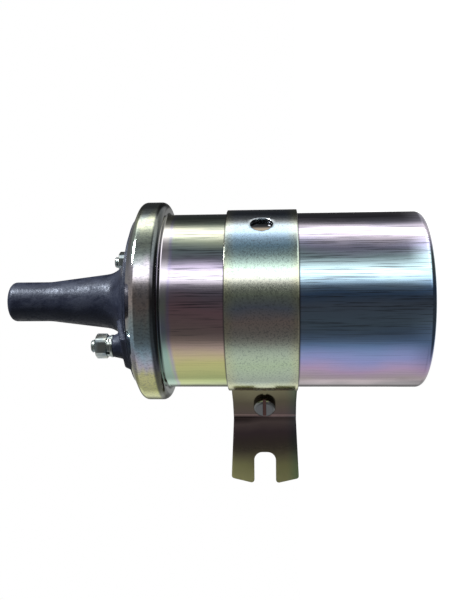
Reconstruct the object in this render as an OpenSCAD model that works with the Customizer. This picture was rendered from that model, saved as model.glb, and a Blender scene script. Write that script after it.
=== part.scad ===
// Canister ignition coil with a strap clamp.
// The can stands on its flat base, the tower points up (+Z) and the clamp's foot points to -X.
// Origin: centre of the can's base. All sizes in millimetres, angles about Z from +X.

/* [Can] */
// Outside diameter of the can
can_d = 57; // [50:0.5:68.5]
// Sheet thickness of the can
can_wall = 0.8; // [0.6:0.05:1]
// Height of the straight side, from the base to the neck under the rim
can_h = 80.5; // [66:0.5:100]
// Outside radius of the edge round the base
base_corner_r = 2.2; // [1.5:0.1:3]

/* [Rolled rim] */
// How far the rim stands out from the can's side
rim_overhang = 4.15; // [3.6:0.05:5.2]
// Radius in the corner between side and rim
neck_r = 0.8; // [0.4:0.1:1.2]
// Radius of the rim's rear edge
rim_rear_r = 2.2; // [1.6:0.1:2.6]
// Height of the straight crest of the rim
rim_crest_h = 4.3; // [3.4:0.1:5.2]
// Radius of the rim's front edge
rim_front_r = 2; // [1.5:0.1:2.4]
// Slope of the lip that is rolled over the cap
lip_slope = 26; // [20:1:34]
// Length of the sloping lip
lip_l = 4; // [3.2:0.1:4.8]

/* [Cap] */
// Clearance between the cap and the rolled rim
cap_gap = 0.1; // [0.05:0.01:0.2]
// How far the cap's face stands above the lip's edge
cap_rise = 0.5; // [0.3:0.1:1]
// Slope of the cap's face
face_slope = 17; // [14:0.1:20.5]
// Distance of the ring step from the cap's edge
ring_in = 2.9; // [2.3:0.1:3.6]
// Height of the ring step
ring_step = 0.2; // [0.15:0.05:0.3]
// Wall of the cap over the hollow underneath
cap_wall_t = 4.2; // [3.4:0.1:5]
// Width of the cap's clamped flange
flange_w = 4.4; // [3.6:0.1:5]
// Outside diameter of the sleeve under the cap
sleeve_d = 22; // [18:0.5:26]
// Clearance between that sleeve and the core's contact
sleeve_gap = 0.8; // [0.5:0.1:1.2]
// Thickness of the gasket
gasket_t = 1.5; // [1.2:0.1:1.8]

/* [Tower] */
// Diameter of the tower at the cap's face
tower_root_d = 19.3; // [16:0.1:23.2]
// Radius between the face and the tower
tower_root_r = 8; // [6.5:0.5:9.5]
// Height of the tapered part
taper_h = 24.5; // [20:0.5:30]
// Diameter of the straight end
tower_tip_d = 13.2; // [12.4:0.1:15.9]
// Height of the straight end
tower_tip_h = 13.6; // [11:0.1:16.4]
// Radius of the edge round the tip
tip_r = 2; // [1:0.1:2.2]
// Diameter of the high-tension socket
socket_d = 8; // [6.6:0.1:8.4]
// Depth of the socket down to the brass insert
socket_depth = 20; // [16:0.5:24]
// Chamfer of the socket's mouth
mouth_chamfer = 0.3; // [0.2:0.05:0.4]

/* [Terminals] */
// Thread diameter of the studs
stud_d = 4; // [3.4:0.1:4.8]
// Distance of the studs from the can's outside
stud_in = 6.2; // [5.6:0.1:7]
// Direction of the rear stud
stud_angle = 51; // [0:1:90]
// Length of thread above the nut
stud_proud = 1.6; // [1.3:0.1:6]
// Width across flats of the nuts
nut_af = 7; // [6.8:0.1:8.4]
// Height of the terminal nuts
nut_h = 3.6; // [3:0.1:4.4]
// Diameter of the plain washers
washer_d = 7; // [6.4:0.1:8.4]
// Thickness of the plain washers
washer_t = 0.8; // [0.6:0.1:1]
// Diameter of the split washers
spring_washer_d = 6.6; // [6.2:0.1:7.8]
// Thickness of the split washers
spring_washer_t = 1; // [0.8:0.1:1.2]
// Height of a terminal block above the cap's face
block_h = 1.5; // [1.2:0.1:1.8]
// Width of a terminal block
block_w = 12; // [10:0.1:14.4]
// Height of a terminal's round pad above the block
pad_h = 1.8; // [1.5:0.1:2.2]
// Rim of the pad that shows round the washer
pad_margin = 0.2; // [0.1:0.05:0.4]

/* [Clamp] */
// Width of the band
strap_w = 22.3; // [18.6:0.1:26.8]
// Thickness of the band's sheet
strap_t = 1.2; // [1:0.05:1.45]
// Running clearance between band and can
strap_gap = 0.08; // [0.04:0.01:0.1]
// Height of the band's middle above the base
strap_z = 50.8; // [38:0.1:62]
// Direction of the split between the ears
split_angle = 143; // [136:1:150]
// Gap between the ears
ear_gap = 3; // [2.5:0.1:3.6]
// Inside radius of the bends at the ears' roots
root_bend_r = 1.6; // [1.2:0.1:2]
// Length of the front ear, from the band to the fold
ear_l = 21.8; // [20.5:0.1:26]
// Length of the rear ear
rear_ear_l = 20.6; // [19.5:0.1:24]
// Width of the rear ear's end
rear_ear_w = 18; // [15:0.1:21]
// Corner radius of the rear ear
rear_ear_r = 3; // [2:0.1:4]
// Distance of the clamp screw from the band
screw_out = 16.2; // [13.5:0.1:16.4]
// Diameter of the round hole in the band
band_hole_d = 7; // [5.8:0.1:8.4]
// Direction of the round hole
band_hole_angle = 321.5; // [300:0.5:340]

/* [Foot] */
// Length of the foot, from the fold to the tip
foot_l = 23.7; // [20:0.1:28.5]
// Inside radius of the fold
fold_r = 2; // [1.6:0.1:2.4]
// Width of the ear where it shows below the can
ear_w = 23.6; // [22.6:0.1:27]
// Width at the fold
waist_w = 23.1; // [22:0.1:26]
// Width at the tip
foot_w = 25; // [23.4:0.1:30]
// How far the corners lie back from the tip
tip_back = 1.7; // [1:0.1:2.2]
// Radius of the foot's corners
foot_corner_r = 1.1; // [0.7:0.1:1.4]
// Width of the open slot
slot_w = 8; // [6.7:0.1:9.6]
// Depth of the slot from the tip
slot_l = 11.3; // [9.4:0.1:13.6]
// Corner radius at the closed end of the slot
slot_r = 3; // [2.4:0.1:3.3]

/* [Clamp screw] */
// Thread diameter
screw_d = 4; // [3.4:0.1:4.8]
// Clearance of the holes in the ears, on the diameter
screw_hole_gap = 0.4; // [0.3:0.1:0.6]
// Diameter of the head
head_d = 8; // [6.8:0.1:9.4]
// Height of the head
head_h = 2.6; // [2.2:0.1:3.1]
// Radius of the head's edge
head_r = 1.1; // [0.8:0.1:1.3]
// Width of the slot
head_slot_w = 1.2; // [1:0.1:1.4]
// Depth of the slot
head_slot_h = 1.3; // [1:0.1:1.5]
// Height of the clamp nut
clamp_nut_h = 3.2; // [2.8:0.1:3.8]
// Length of thread behind the nut
screw_proud = 1.2; // [1:0.1:1.5]

/* [Inside] */
// Diameter of the core
core_d = 15; // [12.5:0.1:18]
// Thickness of a lamination
lamination_t = 1; // [0.8:0.1:1.2]
// Gap between laminations
lamination_gap = 0.06; // [0.04:0.01:0.1]
// Wall of the tube round the core
tube_wall = 1.2; // [1:0.1:1.5]
// Wall of the wrap between the windings
insulation_t = 0.8; // [0.6:0.1:1]
// Build of the primary winding
primary_t = 3.6; // [3:0.1:4.3]
// Wall of the sleeve round the primary
outer_wrap_t = 0.8; // [0.6:0.1:1]
// Sheet thickness of the flux shield
shield_t = 0.6; // [0.5:0.05:0.75]
// Width of the slit in the flux shield
shield_slit = 3; // [2:0.1:4]
// Clearance between neighbouring pieces inside
inner_gap = 0.15; // [0.1:0.01:0.25]
// Thickness of the porcelain base
insulator_t = 4; // [3.3:0.1:4.8]
// Height of the collar on the porcelain base
insulator_collar_h = 4; // [3.3:0.1:4.8]
// Distance between the primary winding's top and the can's rim
winding_drop = 9; // [8:0.1:11]
// How much shorter than the primary the secondary is, at each end
secondary_step = 3; // [2:0.1:4]
// Wire diameter of the leads
lead_d = 1; // [0.8:0.1:1.2]
// Wire diameter of the contact spring
spring_wire_d = 0.8; // [0.6:0.05:1]
// Outside diameter of the contact spring
spring_d = 6; // [5:0.1:7]
// Turns of the contact spring
spring_turns = 5; // [4:1:7]

/* [Hidden] */
$fn = 96;
arc_steps = 8;
eps = 0.01;
far = 200;

// Can and rim
can_r = can_d / 2;
bore_r = can_r - can_wall;
rim_r = can_r + rim_overhang;
flange_z = can_h + neck_r;
crest_z = flange_z + rim_rear_r;
front_z = crest_z + rim_crest_h;
lip_normal = 90 - lip_slope;

// Cap: the flange fills the rolled rim, the face starts inside the lip
flange_offset = can_wall + cap_gap;
lip_end = last(rim_line(0));
lip_under = last(rim_line(flange_offset));
cap_r = min(lip_end[0], lip_under[0]) - cap_gap;
cap_edge_z = lip_end[1] + cap_rise;
gasket_z = flange_z + can_wall;
cap_seat_z = gasket_z + gasket_t;
flange_r = rim_r - flange_offset;
gasket_out_r = rim_r - rim_rear_r;
skirt_r = flange_r - flange_w;
ring_r = cap_r - ring_in;
tower_root_rad = tower_root_d / 2;
tower_tip_rad = tower_tip_d / 2;
root_z = face_z(tower_root_rad);
taper_end_z = root_z + taper_h;
tip_z = taper_end_z + tower_tip_h;
socket_r = socket_d / 2;
socket_z = tip_z - socket_depth;
tower_blend_r = 20;
ceiling_z = face_z(cap_r) - cap_wall_t + ring_step;

// High-tension insert and spring under the socket
insert_cup_h = 5;
insert_cup_wall = 0.8;
insert_floor = 1.5;
insert_shank_d = 5;
insert_gap = 0.05;
insert_ledge = 0.2;
insert_bore_r = socket_r - insert_ledge;
insert_r = insert_bore_r - insert_gap;
insert_cup_z = socket_z - insert_cup_h;
insert_tail = 8;
spring_room = 1;
sleeve_bore_d = spring_d + spring_room;

// Terminals
stud_r = can_r - stud_in;
run_gap = 0.05;
block_margin = 0.6;
block_r = cap_r - block_margin;
block_corner_r = 1;
block_in_r = stud_r - block_w / 2;
pad_d = washer_d + 2 * pad_margin;
pad_z = face_z(stud_r) + block_h + pad_h;
spring_washer_z = pad_z + washer_t;
nut_z = spring_washer_z + spring_washer_t;
stud_tip_z = nut_z + nut_h + stud_proud;
stud_head_d = 8;
stud_head_h = 2;
stud_tail_d = 3;
stud_tail_h = 4;
stud_head_z = ceiling_z - stud_head_h;
stud_chamfer = 0.4;
washer_hole_gap = 0.3;
washer_slit = 0.9;
nut_chamfer = 30;

// Windings, from the can inwards, then up from the porcelain
shield_r = bore_r - inner_gap;
wrap_r = shield_r - shield_t - inner_gap;
primary_r = wrap_r - outer_wrap_t - inner_gap;
insulation_r = primary_r - primary_t - inner_gap;
secondary_r = insulation_r - insulation_t - inner_gap;
core_r = core_d / 2;
tube_in_r = core_r + inner_gap;
tube_out_r = tube_in_r + tube_wall;
insulator_z = can_wall + inner_gap;
insulator_top = insulator_z + insulator_t;
collar_top = insulator_top + insulator_collar_h;
collar_w = 3;
primary_z0 = insulator_top + inner_gap;
primary_z1 = can_h - winding_drop;
secondary_z0 = max(primary_z0, collar_top) + secondary_step;
secondary_z1 = primary_z1 - secondary_step;
tube_proud = 2;
tube_z1 = primary_z1 + tube_proud;
core_z0 = insulator_top + inner_gap;
core_proud = 1;
core_z1 = tube_z1 + core_proud;
contact_t = 0.8;
contact_margin = 1;
contact_z = core_z1 + inner_gap;
sleeve_z = contact_z + contact_t + sleeve_gap;
spring_z0 = contact_z + contact_t;
insert_tail_z = sleeve_z + insert_tail;

// Clamp: u runs outwards along the ears, v across them, towards the front ear
band_in_r = can_r + strap_gap;
band_thin = 0.02;
band_out_r = band_in_r + strap_t - band_thin;
strap_z0 = strap_z - strap_w / 2;
ear_v = ear_gap / 2;
root_v = ear_v + strap_t + root_bend_r;
root_dist = band_out_r + root_bend_r;
root_a = asin(root_v / root_dist);
root_u = root_dist * cos(root_a);
band_steps = 120;
band_cut = 0.3;
fold_a = 180 - split_angle;
fold_u = band_out_r + ear_l;
fold_v = ear_v + strap_t + fold_r;
fold_x = fold_u * cos(split_angle) - fold_v * sin(split_angle);
foot_tip_x = fold_x - foot_l;
neck_l = 4;
neck_step = 1;
neck_blend_r = 4;
trim_room = 3;
hole_room = 2;
ear_run = 2;
ear_flare_l = 3;
waist_run = 5;
ear_x = -band_out_r - ear_run;
waist_x = ear_x - waist_run;
ear_blend_rs = [2, 6, 20];
foot_blend_r = 30;
screw_u = band_out_r + screw_out;
screw_hole_d = screw_d + screw_hole_gap;
lock_washer_v = -ear_v - strap_t;
clamp_nut_v = lock_washer_v - spring_washer_t;
screw_end_v = clamp_nut_v - clamp_nut_h - screw_proud;
head_v = ear_v + strap_t;

function last(list) = list[len(list) - 1];
function reversed(list) = [for (i = [len(list) - 1:-1:0]) list[i]];
function unit(v) = v / norm(v);

// Points along an arc round a centre
function arc(centre, r, a0, a1, steps = arc_steps) =
    [for (i = [0:steps]) let (a = a0 + (a1 - a0) * i / steps)
        centre + r * [cos(a), sin(a)]];

// One corner of a path, rounded by an arc that is tangent to both of its lines
function rounded_corner(before, corner, after, r) =
    let (d0 = unit(before - corner),
         d1 = unit(after - corner),
         half = acos(d0 * d1) / 2,
         centre = corner + unit(d0 + d1) * r / sin(half),
         p0 = corner + d0 * r / tan(half) - centre,
         p1 = corner + d1 * r / tan(half) - centre,
         a0 = atan2(p0[1], p0[0]),
         turn = atan2(p0[0] * p1[1] - p0[1] * p1[0], p0 * p1))
    arc(centre, r, a0, a0 + turn);

// A path with its inner points rounded, each by its own radius; 0 keeps the corner sharp
function rounded_path(pts, radii) =
    [for (i = [0:len(pts) - 1])
        let (ends = i == 0 || i == len(pts) - 1)
        each ends || radii[i] == 0 ? [pts[i]]
            : rounded_corner(pts[i - 1], pts[i], pts[i + 1], radii[i])];

// Section of the rolled rim, moved inwards from the outer surface by w
function rim_line(w) =
    concat(arc([rim_r - rim_rear_r, crest_z], rim_rear_r - w, -90, 0),
        arc([rim_r - rim_front_r, front_z], rim_front_r - w, 0, lip_normal),
        [lip_corner(w) + lip_l * [-sin(lip_normal), cos(lip_normal)]]);
function lip_corner(w) =
    [rim_r - rim_front_r, front_z] + (rim_front_r - w) * [cos(lip_normal), sin(lip_normal)];

// Section of the whole can, moved inwards from the outer surface by w
function can_line(w) =
    concat([[0, w]],
        arc([can_r - base_corner_r, base_corner_r], base_corner_r - w, -90, 0),
        arc([can_r + neck_r, can_h], neck_r + w, 180, 90),
        rim_line(w));

// Height of the cap's face at a radius
function face_z(r) =
    cap_edge_z + (cap_r - r) * tan(face_slope) + (r < cap_r - ring_in ? ring_step : 0);

module tube(r_out, r_in, h) {
    difference() {
        cylinder(r = r_out, h = h);
        translate([0, 0, -eps]) cylinder(r = r_in, h = h + 2 * eps);
    }
}

// Hex nut with both faces chamfered at the corners
module hex_nut(af, h, bore_d) {
    corner_r = af / 2 / cos(30);
    drop = (corner_r - af / 2) * tan(nut_chamfer);
    difference() {
        intersection() {
            cylinder(r = corner_r, h = h, $fn = 6);
            rotate_extrude()
                polygon([[0, 0], [af / 2, 0], [corner_r, drop], [corner_r, h - drop],
                    [af / 2, h], [0, h]]);
        }
        translate([0, 0, -eps]) cylinder(d = bore_d, h = h + 2 * eps, $fn = 48);
    }
}

module split_washer(d, hole_d, t) {
    difference() {
        tube(d / 2, hole_d / 2, t);
        translate([d / 2, 0, t / 2]) rotate([30, 0, 0])
            cube([d, washer_slit, far], center = true);
    }
}

// Places a stud's parts: number 1 is nearest the clamp's front, number 2 behind the tower
module at_stud(number) {
    rotate(stud_angle + (number == 1 ? 180 : 0)) translate([stud_r, 0, 0]) children();
}

module can() {
    color("#b9b48c") rotate_extrude()
        polygon(concat(can_line(0), reversed(can_line(can_wall))));
}

// Section of the cap without the terminal blocks and the hollow underneath
function cap_section() =
    let (ring = ring_r,
         path = rounded_path(
            [[cap_r, cap_edge_z], [ring, face_z(ring + eps)], [ring, face_z(ring - eps)],
             [tower_root_rad, root_z], [tower_tip_rad, taper_end_z],
             [tower_tip_rad, tip_z], [0, tip_z]],
            [0, 0, 0, tower_root_r, tower_blend_r, tip_r, 0]))
    concat([[0, cap_seat_z], [flange_r, cap_seat_z]],
        arc([rim_r - rim_front_r, front_z], rim_front_r - flange_offset, 0, lip_normal),
        [lip_under, [cap_r, lip_under[1]]], path);

// Raised block that carries a terminal, parallel to the cap's sloping face
module terminal_block() {
    intersection() {
        rotate_extrude()
            polygon([[0, cap_seat_z], [block_r, cap_seat_z], [block_r, face_z(block_r) + block_h],
                [0, face_z(block_r) + block_h + block_r * tan(face_slope)]]);
        translate([block_in_r, 0, cap_seat_z])
            linear_extrude(far) polygon(rounded_path(
                [[0, 0], [0, -block_w / 2], [block_w, -block_w / 2], [block_w, block_w / 2],
                 [0, block_w / 2], [0, 0]],
                [0, block_corner_r, block_corner_r, block_corner_r, block_corner_r, 0]));
    }
    translate([stud_r, 0, cap_seat_z]) cylinder(d = pad_d, h = pad_z - cap_seat_z);
}

module cap() {
    color("#24262f") difference() {
        union() {
            difference() {
                union() {
                    rotate_extrude() polygon(cap_section());
                    for (side = [0, 180])
                        rotate(stud_angle + side) terminal_block();
                }
                translate([0, 0, cap_seat_z - eps])
                    cylinder(r = skirt_r, h = ceiling_z - cap_seat_z + eps);
            }
            translate([0, 0, sleeve_z])
                cylinder(d = sleeve_d, h = ceiling_z - sleeve_z + eps);
        }
        translate([0, 0, insert_cup_z])
            cylinder(r = insert_bore_r, h = tip_z - insert_cup_z + eps);
        translate([0, 0, socket_z])
            cylinder(r = socket_r, h = socket_depth + eps);
        translate([0, 0, tip_z - mouth_chamfer])
            cylinder(r1 = socket_r, r2 = socket_r + mouth_chamfer + eps, h = mouth_chamfer + eps);
        translate([0, 0, sleeve_z - eps])
            cylinder(d = insert_shank_d + 2 * insert_gap, h = insert_cup_z - sleeve_z + 2 * eps);
        translate([0, 0, sleeve_z - eps])
            cylinder(d = sleeve_bore_d, h = insert_tail_z - sleeve_z + eps);
        for (number = [1, 2])
            at_stud(number) translate([0, 0, ceiling_z - eps])
                cylinder(d = stud_d + 2 * run_gap, h = pad_z - ceiling_z + 2 * eps);
    }
}

module cap_gasket() {
    color("#1c1c1c") translate([0, 0, gasket_z])
        tube(gasket_out_r, skirt_r, gasket_t);
}

module ht_terminal() {
    color("#c9a24a") {
        translate([0, 0, insert_cup_z]) difference() {
            cylinder(r = insert_r, h = insert_cup_h);
            translate([0, 0, insert_floor])
                cylinder(r = insert_r - insert_cup_wall, h = insert_cup_h);
        }
        translate([0, 0, insert_tail_z])
            cylinder(d = insert_shank_d, h = insert_cup_z - insert_tail_z + eps);
    }
}

// Helical contact spring: rings of points swept along a helix and skinned
module ht_spring() {
    turn_steps = 12;
    sides = 6;
    steps = spring_turns * turn_steps;
    helix_r = (spring_d - spring_wire_d) / 2;
    z0 = spring_z0 + spring_wire_d / 2 + inner_gap;
    rise = insert_tail_z - spring_z0 - spring_wire_d - 2 * inner_gap;
    points = [for (i = [0:steps]) for (j = [0:sides - 1])
        let (turn = 360 * i / turn_steps, round = 360 * j / sides,
             r = helix_r + spring_wire_d / 2 * cos(round))
        [r * cos(turn), r * sin(turn),
         z0 + rise * i / steps + spring_wire_d / 2 * sin(round)]];
    skin = [for (i = [0:steps - 1]) for (j = [0:sides - 1])
        let (a = i * sides + j, b = i * sides + (j + 1) % sides)
        each [[a, a + sides, b], [b, a + sides, b + sides]]];
    ends = [[for (j = [0:sides - 1]) j], [for (j = [sides - 1:-1:0]) steps * sides + j]];
    color("#a8a8a4") polyhedron(points, concat(skin, ends));
}

module core_contact() {
    color("#c9a24a") translate([0, 0, contact_z]) cylinder(r = core_r - contact_margin, h = contact_t);
}

// Flat strips side by side; each one is as wide as the round tube lets it be
module core() {
    pitch = lamination_t + lamination_gap;
    half_count = floor((core_r - lamination_t) / pitch);
    color("#6f7276") for (i = [-half_count:half_count]) {
        edge = abs(i) * pitch + lamination_t / 2;
        strip_w = 2 * sqrt(core_r * core_r - edge * edge);
        translate([-strip_w / 2, i * pitch - lamination_t / 2, core_z0])
            cube([strip_w, lamination_t, core_z1 - core_z0]);
    }
}

module secondary_tube() {
    color("#b58f5e") translate([0, 0, core_z0]) tube(tube_out_r, tube_in_r, tube_z1 - core_z0);
}

module secondary_winding() {
    color("#9c5a2c") translate([0, 0, secondary_z0])
        tube(secondary_r, tube_out_r + inner_gap, secondary_z1 - secondary_z0);
}

module winding_insulation() {
    z0 = secondary_z0 - secondary_step + inner_gap;
    color("#d2b98a") translate([0, 0, z0])
        tube(insulation_r, insulation_r - insulation_t, primary_z1 - z0);
}

module primary_winding() {
    color("#b4552d") translate([0, 0, primary_z0])
        tube(primary_r, primary_r - primary_t, primary_z1 - primary_z0);
}

module outer_wrap() {
    color("#c7a877") translate([0, 0, primary_z0])
        tube(wrap_r, wrap_r - outer_wrap_t, primary_z1 - primary_z0);
}

module flux_shield() {
    color("#7b7f83") translate([0, 0, primary_z0]) difference() {
        tube(shield_r, shield_r - shield_t, primary_z1 - primary_z0);
        translate([0, -shield_slit / 2, -eps])
            cube([can_d, shield_slit, primary_z1 - primary_z0 + 2 * eps]);
    }
}

module base_insulator() {
    color("#e9e4d6") {
        translate([0, 0, insulator_z])
            cylinder(r = can_r - base_corner_r - inner_gap, h = insulator_t);
        translate([0, 0, insulator_top - eps])
            tube(tube_out_r + inner_gap + collar_w, tube_out_r + inner_gap,
                insulator_collar_h + eps);
    }
}

// Lead with an eye round the stud's tail, run straight down to the top of the primary
module primary_lead(number) {
    eye_z = stud_head_z - stud_tail_h / 2;
    eye_in_r = stud_tail_d / 2 + insert_gap;
    lead_z = primary_z1 + inner_gap;
    color("#b4552d") at_stud(number) {
        translate([0, 0, eye_z])
            tube(eye_in_r + lead_d, eye_in_r, lead_d);
        translate([eye_in_r + lead_d / 2, 0, lead_z])
            cylinder(d = lead_d, h = eye_z + lead_d / 2 - lead_z, $fn = 24);
    }
}
module primary_lead_1() { primary_lead(1); }
module primary_lead_2() { primary_lead(2); }

// Stud put in from below: its head bears on the cap's ceiling, its tail takes the lead
module terminal_stud(number) {
    tail_z = stud_head_z - stud_tail_h;
    color("#c8c4ae") at_stud(number) rotate_extrude($fn = 48)
        polygon([[0, tail_z], [stud_tail_d / 2, tail_z], [stud_tail_d / 2, stud_head_z],
            [stud_head_d / 2, stud_head_z], [stud_head_d / 2, ceiling_z],
            [stud_d / 2, ceiling_z], [stud_d / 2, stud_tip_z - stud_chamfer],
            [stud_d / 2 - stud_chamfer, stud_tip_z], [0, stud_tip_z]]);
}
module terminal_stud_1() { terminal_stud(1); }
module terminal_stud_2() { terminal_stud(2); }

module flat_washer(number) {
    color("#c9c9c4") at_stud(number) translate([0, 0, pad_z])
        tube(washer_d / 2, (stud_d + washer_hole_gap) / 2, washer_t);
}
module flat_washer_1() { flat_washer(1); }
module flat_washer_2() { flat_washer(2); }

module spring_washer(number) {
    color("#b5b5b0") at_stud(number) translate([0, 0, spring_washer_z])
        split_washer(spring_washer_d, stud_d + washer_hole_gap, spring_washer_t);
}
module spring_washer_1() { spring_washer(1); }
module spring_washer_2() { spring_washer(2); }

// The nuts stand with a flat towards -Y
module terminal_nut(number) {
    color("#c4cac6") at_stud(number) translate([0, 0, nut_z]) rotate(-stud_angle)
        hex_nut(nut_af, nut_h, stud_d + 2 * run_gap);
}
module terminal_nut_1() { terminal_nut(1); }
module terminal_nut_2() { terminal_nut(2); }

// One side of the bent sheet in plan, from the foot's tip round the band to the rear ear's end,
// w in from the side that faces away from the can; band_w does the same for the round stretch,
// which is band_thin thinner than the sheet, so that its bore crosses the root bends cleanly
function sheet_side(w, band_w) =
    let (foot_start = [fold_u, fold_v] + (fold_r + w) * [sin(fold_a), -cos(fold_a)])
    concat([foot_start + foot_l * [cos(fold_a), sin(fold_a)]],
        arc([fold_u, fold_v], fold_r + w, 270 + fold_a, 270),
        arc([root_u, root_v], root_bend_r + w, 270, 180 + root_a),
        arc([0, 0], band_out_r - band_w, root_a, 360 - root_a, band_steps),
        arc([root_u, -root_v], root_bend_r + w, 180 - root_a, 90),
        [[band_out_r + rear_ear_l, -ear_v - strap_t + w]]);

// Outline of the clamp drawn in the plane of the foot: band, ears and slotted foot
function clamp_outline() =
    let (side = [[2 * band_out_r, strap_w / 2], [ear_x + ear_flare_l, strap_w / 2],
            [ear_x, ear_w / 2],
            [waist_x, waist_w / 2], [fold_x, waist_w / 2],
            [foot_tip_x + tip_back, foot_w / 2], [foot_tip_x, slot_w / 2 + foot_corner_r],
            [foot_tip_x, slot_w / 2], [foot_tip_x + slot_l, slot_w / 2],
            [foot_tip_x + slot_l, 0]],
         radii = [0, each ear_blend_rs, foot_blend_r, foot_corner_r, 0, foot_corner_r, slot_r, 0],
         half = rounded_path(side, radii))
    concat(half, [for (p = reversed(half)) [p[0], -p[1]]]);

// What is cut off to give the rear ear its narrower end with round corners
module rear_ear_trim() {
    end_u = band_out_r + rear_ear_l;
    past_end_u = end_u + trim_room;
    neck_u = screw_u - head_d / 2;
    w = rear_ear_w / 2;
    for (side = [-1, 1])
        translate([0, -ear_v, 0]) rotate([90, 0, 0]) linear_extrude(2 * strap_t + 2 * root_bend_r)
            polygon([for (p = concat(rounded_path(
                    [[root_u + root_bend_r, foot_w], [neck_u - neck_l / 2, w + neck_step],
                     [neck_u + neck_l / 2, w], [end_u, w], [end_u, 0]],
                    [0, neck_blend_r, neck_blend_r, rear_ear_r, 0]),
                [[past_end_u, 0], [past_end_u, foot_w]])) [p[0], side * p[1]]]);
}

module clamp_strap() {
    color("#a39a6a") translate([0, 0, strap_z]) difference() {
        intersection() {
            rotate(split_angle) linear_extrude(2 * foot_w, center = true)
                polygon(concat(sheet_side(0, 0),
                    reversed(sheet_side(strap_t, strap_t + band_cut))));
            rotate([90, 0, 0]) linear_extrude(far, center = true) polygon(clamp_outline());
        }
        cylinder(r = band_in_r, h = far, center = true, $fn = 4 * $fn);
        rotate(split_angle) {
            rear_ear_trim();
            translate([screw_u, 0, 0]) rotate([90, 0, 0])
                cylinder(d = screw_hole_d, h = 2 * head_v + hole_room, center = true, $fn = 48);
        }
        rotate(band_hole_angle) translate([can_r, 0, 0]) rotate([0, 90, 0])
            cylinder(d = band_hole_d, h = strap_t + hole_room);
    }
}

// Places a part with its axis along the clamp screw, +Z towards the head
module at_clamp_screw(v) {
    translate([0, 0, strap_z]) rotate(split_angle) translate([screw_u, v, 0])
        rotate([-90, 0, 0]) children();
}

module clamp_screw() {
    color("#b9bdb8") at_clamp_screw(0) difference() {
        union() {
            translate([0, 0, screw_end_v])
                cylinder(d = screw_d, h = head_v - screw_end_v + eps, $fn = 48);
            rotate_extrude() polygon(rounded_path(
                [[0, head_v], [head_d / 2, head_v], [head_d / 2, head_v + head_h],
                 [0, head_v + head_h]],
                [0, 0, head_r, 0]));
        }
        translate([0, 0, head_v + head_h])
            cube([far, head_slot_w, 2 * head_slot_h], center = true);
    }
}

module clamp_lock_washer() {
    color("#b5b5b0") at_clamp_screw(clamp_nut_v)
        split_washer(spring_washer_d, screw_d + washer_hole_gap, spring_washer_t);
}

module clamp_nut() {
    color("#c4cac6") at_clamp_screw(clamp_nut_v - clamp_nut_h)
        hex_nut(nut_af, clamp_nut_h, screw_d + 2 * run_gap);
}

can();
cap();
cap_gasket();
ht_terminal();
ht_spring();
core_contact();
core();
secondary_tube();
secondary_winding();
winding_insulation();
primary_winding();
outer_wrap();
flux_shield();
base_insulator();
primary_lead_1();
primary_lead_2();
terminal_stud_1();
terminal_stud_2();
flat_washer_1();
flat_washer_2();
spring_washer_1();
spring_washer_2();
terminal_nut_1();
terminal_nut_2();
clamp_strap();
clamp_screw();
clamp_lock_washer();
clamp_nut();
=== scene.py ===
import math

import bmesh
import bpy
import numpy as np
from mathutils import Matrix, Vector
from mathutils.geometry import delaunay_2d_cdt


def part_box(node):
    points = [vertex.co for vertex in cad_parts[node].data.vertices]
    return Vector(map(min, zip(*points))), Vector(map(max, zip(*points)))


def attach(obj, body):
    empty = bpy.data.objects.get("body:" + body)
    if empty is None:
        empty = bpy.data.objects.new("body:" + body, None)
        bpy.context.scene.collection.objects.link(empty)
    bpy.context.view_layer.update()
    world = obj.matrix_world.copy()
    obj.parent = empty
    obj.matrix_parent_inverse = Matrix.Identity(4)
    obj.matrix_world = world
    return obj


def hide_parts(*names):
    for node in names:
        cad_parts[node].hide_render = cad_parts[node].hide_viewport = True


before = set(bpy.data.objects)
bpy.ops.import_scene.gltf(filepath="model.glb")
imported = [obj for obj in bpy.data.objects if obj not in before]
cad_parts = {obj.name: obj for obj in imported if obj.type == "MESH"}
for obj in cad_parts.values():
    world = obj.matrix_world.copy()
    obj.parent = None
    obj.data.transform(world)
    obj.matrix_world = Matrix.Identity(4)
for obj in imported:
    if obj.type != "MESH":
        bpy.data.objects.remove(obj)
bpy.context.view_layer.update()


# ---------------------------------------------------------------- light table, lamp and camera
# The coil stands on a white light table in a dim room. Two tall soft panels stand to its right,
# with a pale bench between them, a grey wall fills the left, and a soft lamp hangs on the right.

mm = 0.001


def put(tree, kind, inputs=None, **settings):
    """Adds a node. An input is set to a plain value, or linked when the value is a socket."""
    node = tree.nodes.new("ShaderNode" + kind)
    for name, value in settings.items():
        setattr(node, name, value)
    for key, value in (inputs or {}).items():
        if isinstance(value, bpy.types.NodeSocket):
            tree.links.new(value, node.inputs[key])
        else:
            node.inputs[key].default_value = value
    return node


def maths(tree, operation, *inputs):
    """The result of one sum on numbers or sockets."""
    return put(tree, "Math", dict(enumerate(inputs)), operation=operation).outputs[0]


def ramp(tree, factor, stops, interpolation="LINEAR"):
    """Colours at places from 0 to 1. A stop is a place and a grey value, or a place and a colour."""
    node = put(tree, "ValToRGB", {"Fac": factor})
    band = node.color_ramp
    band.interpolation = interpolation
    while len(band.elements) < len(stops):
        band.elements.new(0.5)
    for element, (place, value) in zip(band.elements, stops):
        element.position = place
        colour = (value,) * 3 if isinstance(value, (int, float)) else tuple(value)
        element.color = (*colour, 1)
    return node.outputs["Color"]


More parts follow.
